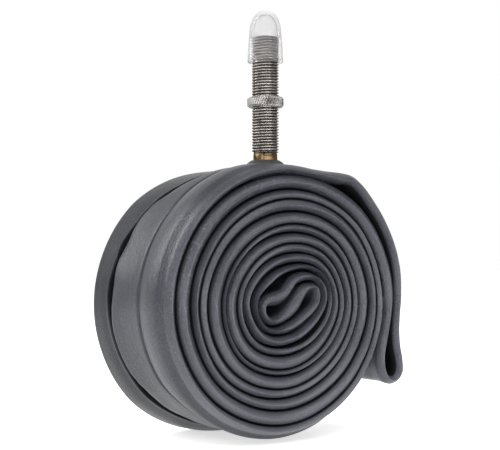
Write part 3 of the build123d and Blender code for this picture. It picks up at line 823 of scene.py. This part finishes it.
THREAD_PITCH, CORE_PITCH = 25.4 / 30, 25.4 / 36
STEM_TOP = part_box("valve_stem")[1].z / MM
STEM_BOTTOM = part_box("valve_stem")[0].z / MM
THREAD_CREST_R, THREAD_ROOT_R = 3.99, 3.44
BORE_R, BORE_THREAD = 2.98, 0.2
BORE_THREAD_LOW, BORE_THREAD_HIGH = 31.2, 36.4
NECK_TOP = 2.0
COLUMNS = 72


def turns_at(angle, height, pitch):
    """How many turns up a right-hand thread a point lies."""
    return height / pitch - angle / (2 * math.pi)


def stem_radius(angle, height):
    lift = ridge(turns_at(angle, height, THREAD_PITCH), 0.3, 0.12)
    top_end = smoothstep(STEM_TOP - 0.1, STEM_TOP - 0.8, height)
    ends = float(smoothstep(NECK_TOP, NECK_TOP + 0.7, height) * top_end)
    return THREAD_ROOT_R + (THREAD_CREST_R - THREAD_ROOT_R) * lift * ends


def bore_radius(angle, height):
    lift = ridge(turns_at(angle, height, CORE_PITCH), 0.14, 0.12)
    top_end = smoothstep(BORE_THREAD_HIGH, BORE_THREAD_HIGH - 0.5, height)
    ends = float(smoothstep(BORE_THREAD_LOW, BORE_THREAD_LOW + 0.6, height) * top_end)
    return BORE_R - BORE_THREAD * lift * ends


def make_stem():
    """Threaded outside, a flange buried in the foot, and a stepped bore with the core's thread."""
    outside = [(5.2, STEM_BOTTOM), (5.2, -1.5), (5.1, -1.4), (3.6, -1.4), (3.6, -0.6), (3.6, 0.0),
               (3.6, 0.9), (3.58, 1.8), (3.5, 1.95)]
    outside += [(stem_radius, z) for z in np.arange(NECK_TOP, STEM_TOP - 0.15, THREAD_PITCH / 16)]
    outside += [(3.4, STEM_TOP - 0.12), (3.28, STEM_TOP), (3.1, STEM_TOP), (BORE_R, STEM_TOP - 0.12)]
    bore = [(bore_radius, z) for z in np.arange(STEM_TOP - 0.3, BORE_THREAD_LOW - 0.2, -CORE_PITCH / 12)]
    bore += [(2.55, 30.8), (2.2, 28.2), (2.0, 28.0), (2.0, 18.0), (1.6, 17.6), (1.6, STEM_BOTTOM)]
    mesh = grid_mesh("threaded_stem", ring_rows(outside + bore, COLUMNS))
    hand_over(finish_mesh(mesh, plated_brass(), 28), "tube", "plated_brass", "valve_stem")


def make_foot():
    """Rubber foot: a lip round the neck, a flare, and a thin bonded pad that follows the drum."""
    xs, zs = np.array(surface_line).T
    bore, reach = 3.62, 10.3
    flare = [
        (4.1, 0.0), (4.28, -0.06), (4.45, -0.18), (4.68, -0.33), (4.95, -0.5), (5.25, -0.74),
        (5.55, -1.02), (5.88, -1.36), (6.25, -1.72), (6.7, -2.07),
    ]
    flare_reach, flare_end = flare[-1]

    def drum(px):
        return float(np.interp(px, xs, zs))

    def pad(px, py):
        radius = math.hypot(px, py)
        skin = drum(px) + 0.5 - 0.33 * float(smoothstep(7.0, 9.5, radius))
        blend = float(smoothstep(flare_reach, 8.6, radius))
        return (1 - blend) * (flare_end - 0.35 * (radius - flare_reach)) + blend * skin

    def below_drum(drop):
        return lambda px, py: drum(px) + 0.17 - drop

    profile = [(bore, -2.3), (bore, -0.3), (3.64, -0.08), (3.72, 0.0), *flare]
    profile += [(radius, pad) for radius in np.linspace(7.2, reach, 9)]
    profile += [(reach + 0.15, below_drum(0.12)), (reach + 0.1, below_drum(0.7)), (5.5, below_drum(0.9))]
    profile.append((bore, -3.6))
    mesh = grid_mesh("valve_foot", ring_rows(profile, COLUMNS))
    hand_over(finish_mesh(mesh, foot_rubber(), 60), "tube", "foot_rubber", "valve_base")


def node_heights(node):
    return [corner.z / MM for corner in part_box(node)]


def make_nut():
    """Round nut with slanted knurling; `lean` is in teeth per millimetre of height."""
    low, high = node_heights("rim_nut")
    teeth, lean, rim, tooth_depth = 44, 0.52, 5.48, 0.34
    bevel, bevel_slope = 0.5, 0.9

    def knurled(angle, height):
        phase = (angle * teeth / (2 * math.pi) - lean * (height - low)) % 1
        cut = abs(2 * phase - 1)
        edge = min(height - low, high - height)
        shoulder = max(0.0, bevel - edge) * bevel_slope
        return rim - shoulder - tooth_depth * cut * float(smoothstep(-0.1, 0.45, edge))

    def bore(angle, height):
        return 4.3 - 0.22 * ridge(turns_at(angle, height, THREAD_PITCH), 0.14, 0.12)

    outside = [(4.6, low), (rim - 0.55, low)]
    outside += [(knurled, z) for z in np.linspace(low + 0.06, high - 0.06, 25)]
    outside += [(rim - 0.55, high), (4.6, high), (4.35, high - 0.2)]
    inside = [(bore, z) for z in np.linspace(high - 0.3, low + 0.3, 30)] + [(4.35, low + 0.2)]
    mesh = grid_mesh("knurled_nut", ring_rows(outside + inside, teeth * 6))
    hand_over(finish_mesh(mesh, nut_plating(), 28), "nut", "nut_plating", "rim_nut")


def make_cap():
    """Hollow cap: a flared skirt, a domed top, and an inside thread up to the stem's end."""
    low, high = node_heights("dust_cap")
    dome_low, dome_r, hollow_low, hollow_high, hollow_r = 38.0, 4.78, 38.2, 43.7, 3.75
    roundness, tip = 0.82, 0.02
    outside = [
        (4.5, low), (5.0, low), (5.2, low + 0.06), (5.3, low + 0.2), (5.32, low + 0.4), (5.3, low + 0.9),
        (5.27, low + 1.6), (5.23, low + 2.6), (5.17, low + 3.8), (5.1, low + 5.0), (5.0, low + 6.4),
        (4.9, low + 7.6), (dome_r, dome_low),
    ]
    for turn in np.linspace(0, math.pi / 2, 19)[1:-1]:
        outside.append((dome_r * math.cos(turn) ** roundness, dome_low + (high - dome_low) * math.sin(turn)))
    outside.append((tip, high))
    inside = [(tip, hollow_high)]
    for turn in np.linspace(math.pi / 2, 0, 15)[1:-1]:
        rise = (hollow_high - hollow_low) * math.sin(turn)
        inside.append((hollow_r * math.cos(turn) ** roundness, hollow_low + rise))
    inside += [(3.76, 37.9), (3.82, 37.7), (3.92, 37.5), (4.02, 37.3), (4.1, 37.1)]

    def thread(angle, height):
        return 4.3 - 0.2 * ridge(turns_at(angle, height, THREAD_PITCH), 0.14, 0.12)

    inside += [(thread, z) for z in np.arange(36.9, low + 1.2, -THREAD_PITCH / 12)]
    inside += [(4.3, low + 0.9), (4.4, low + 0.3)]
    mesh = grid_mesh("clear_cap", ring_rows(outside + inside, COLUMNS))
    hand_over(finish_mesh(mesh, clear_plastic(), 50), "cap", "clear_plastic", "dust_cap")


def make_spring():
    """Coil with closed ends; `wire` is the wire's radius."""
    low, high = node_heights("core_spring")
    wire, radius, turns, dead, pin_travel = 0.12, 0.92, 9, 1.0, 1.2
    sides, steps = 8, 20 * turns
    rows = []
    for step in range(steps + 1):
        turn = turns * step / steps
        angle = 2 * math.pi * turn
        share = float(np.clip((turn - dead) / (turns - 2 * dead), 0, 1))
        flat = 2.1 * wire
        height = low + wire + flat * min(turn, dead) + flat * max(0, turn - (turns - dead))
        height += share * (high - low - 2 * wire - 2 * flat * dead)
        row = []
        for side in range(sides):
            around = 2 * math.pi * side / sides
            r = radius + wire * math.cos(around)
            row.append((r * math.cos(angle), r * math.sin(angle), height + wire * math.sin(around)))
        rows.append(row)
    mesh = grid_mesh("coil_spring", rows, closed_rows=False)
    mesh_ends = bmesh.new()
    mesh_ends.from_mesh(mesh)
    bmesh.ops.holes_fill(mesh_ends, edges=mesh_ends.edges)
    mesh_ends.to_mesh(mesh)
    mesh_ends.free()
    spring = hand_over(finish_mesh(mesh, spring_steel()), "core", "spring_steel", "core_spring")
    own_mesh(spring)


make_stem()
make_foot()
make_nut()
make_cap()
make_spring()

brass, seal = bare_brass(), seal_rubber()
for node, finish in (
    ("core_swivel", brass), ("core_barrel", brass), ("core_pin", brass), ("core_cup", brass),
    ("core_gasket", seal), ("core_cup_gasket", seal),
):
    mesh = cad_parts[node].data
    mesh.materials.clear()
    mesh.materials.append(finish)

# ---------------------------------------------------------------- floor, light and camera
CAMERA_AZIMUTH, CAMERA_DISTANCE = 33, 0.3596    # degrees, metres
FLOOR_DROP = 0.0026                             # metres; the roll bulges about this far below the CAD's
facing = Vector((math.sin(math.radians(CAMERA_AZIMUTH)), math.cos(math.radians(CAMERA_AZIMUTH)), 0))
sideways = Vector((facing.y, -facing.x, 0))

floor_mesh = bpy.data.meshes.new("floor")
floor_build = bmesh.new()
bmesh.ops.create_circle(floor_build, cap_ends=True, segments=64, radius=6)
floor_build.to_mesh(floor_mesh)
floor_build.free()
floor_mesh.materials.append(stage_grey())
floor = bpy.data.objects.new("floor", floor_mesh)
floor.location = (0, 0, cad_box[0][2] - FLOOR_DROP)
bpy.context.scene.collection.objects.link(floor)

# A white backdrop beyond the object, fading to a dim room on the camera's side.
world = bpy.data.worlds.new("studio")
world.use_nodes = True
sky = world.node_tree.nodes
direction = sky.new("ShaderNodeTexCoord")
towards = sky.new("ShaderNodeVectorMath")
towards.operation = "DOT_PRODUCT"
towards.inputs[1].default_value = facing
fade = sky.new("ShaderNodeMapRange")
fade.interpolation_type = "SMOOTHSTEP"
for socket, value in (("From Min", -0.3), ("From Max", 0.9), ("To Min", 0.15), ("To Max", 1.0)):
    fade.inputs[socket].default_value = value
world.node_tree.links.new(direction.outputs["Generated"], towards.inputs[0])
world.node_tree.links.new(towards.outputs["Value"], fade.inputs["Value"])
world.node_tree.links.new(fade.outputs["Result"], sky["Background"].inputs["Strength"])
sky["Background"].inputs["Color"].default_value = (1.0, 1.0, 1.0, 1)
bpy.context.scene.world = world

LIGHT_AIM, LIGHT_DISTANCE = Vector((-0.006, 0, -0.03)), 0.8


def softbox(name, azimuth, elevation, size, power):
    """A lamp facing the roll, from `azimuth` degrees round from the front and `elevation` up."""
    light = bpy.data.lights.new(name, "AREA")
    light.shape = "RECTANGLE"
    light.size, light.size_y = size
    light.energy = power
    lamp = bpy.data.objects.new(name, light)
    a, e = math.radians(azimuth), math.radians(elevation)
    back = Vector((math.sin(a) * math.cos(e), -math.cos(a) * math.cos(e), math.sin(e)))
    lamp.location = LIGHT_AIM + back * LIGHT_DISTANCE
    lamp.rotation_mode = "QUATERNION"
    lamp.rotation_quaternion = back.to_track_quat("Z", "Y")
    bpy.context.scene.collection.objects.link(lamp)


softbox("left_box", -125, 35, (0.3, 0.6), 6)
softbox("side_box", -62, 15, (0.12, 0.4), 1.2)
softbox("top_box", -5, 58, (1.0, 0.8), 6.5)
softbox("front_box", -10, 1, (1.1, 0.12), 4.5)

camera_data = bpy.data.cameras.new("camera")
camera_data.sensor_width = 36
camera_data.lens = 86.4
camera_data.shift_y = 0.042
camera_data.clip_start, camera_data.clip_end = 0.01, 30
camera = bpy.data.objects.new("camera", camera_data)
camera.location = -CAMERA_DISTANCE * facing - 0.0046 * sideways + Vector((0, 0, -0.0256))
camera.rotation_mode = "QUATERNION"
camera.rotation_quaternion = (-facing).to_track_quat("Z", "Y")
bpy.context.scene.collection.objects.link(camera)
bpy.context.scene.camera = camera

bpy.context.scene.view_settings.view_transform = "Standard"
